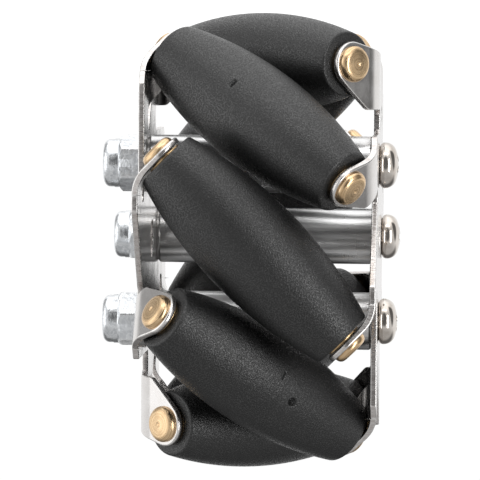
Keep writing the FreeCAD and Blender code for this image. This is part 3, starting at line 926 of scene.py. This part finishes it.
for bolt in BOLTS:
    put_on_wheel(
        spacer_tube(), f"turned_spacer_{bolt}", bolt_place(bolt),
        steel, "frame", "turned_steel", f"spacer_tube_{bolt}",
    )
    put_on_wheel(
        pan_head_screw(), f"pan_head_screw_{bolt}", bolt_place(bolt),
        nickel, "frame", "nickel_plate", f"screw_{bolt}",
    )
    put_on_wheel(
        lock_nut(), f"collared_nut_{bolt}", bolt_place(bolt, to_nut=True, spin=NUT_TURNS[bolt]),
        zinc, "frame", "zinc_plate", f"lock_nut_{bolt}",
    )
    put_on_wheel(
        insert_ring(), f"locking_ring_{bolt}", bolt_place(bolt, to_nut=True),
        nylon, "frame", "insert_nylon", f"nut_insert_{bolt}",
    )


# Camera, as fitted to the photo's outline. Distances are in metres from here on.

CAMERA_DISTANCE = 0.54203
CAMERA_AZIMUTH = 2.7685
CAMERA_ELEVATION = 3.0009
CAMERA_ROLL = 0.4367
CAMERA_LENS = 307.12
CAMERA_SHIFT = (-0.04762, -0.00036)
CAMERA_CLIP_START = 0.01


def way_out(azimuth, elevation):
    """The direction from the wheel at an azimuth from +X towards +Y and an elevation, in degrees."""
    around, above = math.radians(azimuth), math.radians(elevation)
    return Vector(
        (math.cos(above) * math.cos(around), math.cos(above) * math.sin(around), math.sin(above))
    )


def add_camera():
    back = way_out(CAMERA_AZIMUTH, CAMERA_ELEVATION)
    right = way_out(CAMERA_AZIMUTH + 90.0, 0.0)
    upright = Matrix((right, back.cross(right), back)).transposed().to_4x4()
    data = bpy.data.cameras.new("photo_camera")
    data.lens = CAMERA_LENS
    data.shift_x, data.shift_y = CAMERA_SHIFT
    data.clip_start = CAMERA_CLIP_START
    camera = bpy.data.objects.new("photo_camera", data)
    camera.matrix_world = (
        Matrix.Translation(back * CAMERA_DISTANCE) @ upright @ turn_about("Z", CAMERA_ROLL)
    )
    bpy.context.scene.collection.objects.link(camera)
    bpy.context.scene.camera = camera


# Studio: pale floor, white tent, soft lamps

FLOOR_HALF = 3.0
FLOOR_GAP = 0.0002
FLOOR_DIFFUSE = grey(0.02)
WHITE = grey(1.0)
TENT_LIGHT = 0.76
CEILING_LIGHT = 1.65
BACKDROP_LIGHT = 1.0
GROUND_LIGHT = 0.5
DARK_LIGHT = 0.15
SEEN_LIGHT = 1.2
# Where one light runs into the next, on a ball of radius one: ahead is towards +X and height towards +Z
BACKDROP_AHEAD = (0.2, -0.6)
CEILING_HEIGHT = (0.6, 0.95)
GROUND_HEIGHT = (-0.25, -0.8)
FAR_GROUND_HEIGHT = (-0.2, -0.65)
FAR_GROUND_AHEAD = (-0.1, -0.5)
# Dark openings in the tent: azimuth and elevation of the middle, half width and half height, darkness
OPENINGS = (
    ((8.0, 14.0), (23.0, 36.0), 1.0),
    ((96.0, 22.0), (22.0, 34.0), 1.0),
    ((-125.0, 30.0), (22.0, 22.0), 0.7),
)
OPENING_EDGE = (0.5, 1.5)
# Soft lamps: name, azimuth, elevation, width and height, brightness as of a white card
LAMPS = (
    ("top_strip", 3.0, 62.0, (0.5, 0.12), 1.6),
    ("left_softbox", -72.0, 4.0, (0.45, 0.6), 0.8),
    ("right_softbox", 44.0, 2.0, (0.15, 0.6), 4.8),
)
LAMP_DISTANCE = 0.55


def pale_floor():
    """A floor just under the wheel that is white by itself and stays out of reflections."""
    bm = bmesh.new()
    bmesh.ops.create_grid(bm, x_segments=1, y_segments=1, size=FLOOR_HALF)
    bmesh.ops.translate(bm, verts=bm.verts, vec=(0, 0, cad_box[0].z - FLOOR_GAP))
    floor = new_object(bm, "pale_floor")
    white = Finish(
        "pale_floor",
        {
            "Base Color": FLOOR_DIFFUSE, "Specular IOR Level": 0.0,
            "Emission Color": WHITE, "Emission Strength": 1.0,
        },
    )
    floor.data.materials.append(white.material)
    floor.visible_diffuse = False
    floor.visible_glossy = False


def opening_darkness(room, azimuth, elevation):
    """How dark the tent is in a direction: most inside its openings, with soft borders."""
    darkness = None
    for middle, reach, depth in OPENINGS:
        beside = (azimuth - middle[0]) * (1.0 / reach[0])
        above = (elevation - middle[1]) * (1.0 / reach[1])
        inside = room.rise(beside * beside + above * above, *OPENING_EDGE, start=depth, end=0.0)
        darkness = inside if darkness is None else inside.work("MAXIMUM", inside, darkness)
    return darkness


def white_room():
    """White behind the wheel, and in its reflections a white tent with dark openings."""
    world = bpy.data.worlds.new("white_room")
    world.use_nodes = True
    room = Shading(world.node_tree)
    outwards = room.add("ShaderNodeTexCoord").outputs["Object"]
    ahead, across, height = room.parts(outwards)
    azimuth = across.work("ARCTAN2", across, ahead) * math.degrees(1.0)
    elevation = height.work("ARCSINE", height) * math.degrees(1.0)
    darkness = opening_darkness(room, azimuth, elevation)
    tent, ceiling, backdrop, ground, dark, white = (
        room.add("ShaderNodeBackground", None, {"Color": WHITE, "Strength": light}).outputs[0]
        for light in (TENT_LIGHT, CEILING_LIGHT, BACKDROP_LIGHT, GROUND_LIGHT, DARK_LIGHT, SEEN_LIGHT)
    )
    far_ground = room.rise(height, *FAR_GROUND_HEIGHT) * room.rise(ahead, *FAR_GROUND_AHEAD)
    mirrored = tent
    for share, light in (
        (room.rise(ahead, *BACKDROP_AHEAD), backdrop),
        (room.rise(height, *CEILING_HEIGHT), ceiling),
        (room.rise(height, *GROUND_HEIGHT), ground),
        (far_ground, dark),
        (darkness, dark),
    ):
        mirrored = room.add("ShaderNodeMixShader", None, {0: share, 1: mirrored, 2: light}).outputs[0]
    path = room.add("ShaderNodeLightPath").outputs["Is Camera Ray"]
    seen = room.add("ShaderNodeMixShader", None, {0: path, 1: mirrored, 2: white}).outputs[0]
    room.add("ShaderNodeOutputWorld", None, {0: seen})
    bpy.context.scene.world = world


def softbox(name, azimuth, elevation, size, brightness):
    """A soft lamp in a direction from the wheel, facing it."""
    data = bpy.data.lights.new(name, "AREA")
    data.shape = "RECTANGLE"
    data.size, data.size_y = size
    data.energy = brightness * math.pi * size[0] * size[1]
    lamp = bpy.data.objects.new(name, data)
    lamp.location = way_out(azimuth, elevation) * LAMP_DISTANCE
    lamp.rotation_euler = (-lamp.location).to_track_quat("-Z", "Y").to_euler()
    lamp.visible_camera = False
    bpy.context.scene.collection.objects.link(lamp)


add_camera()
pale_floor()
white_room()
for lamp in LAMPS:
    softbox(*lamp)
bpy.context.scene.view_settings.view_transform = "Standard"
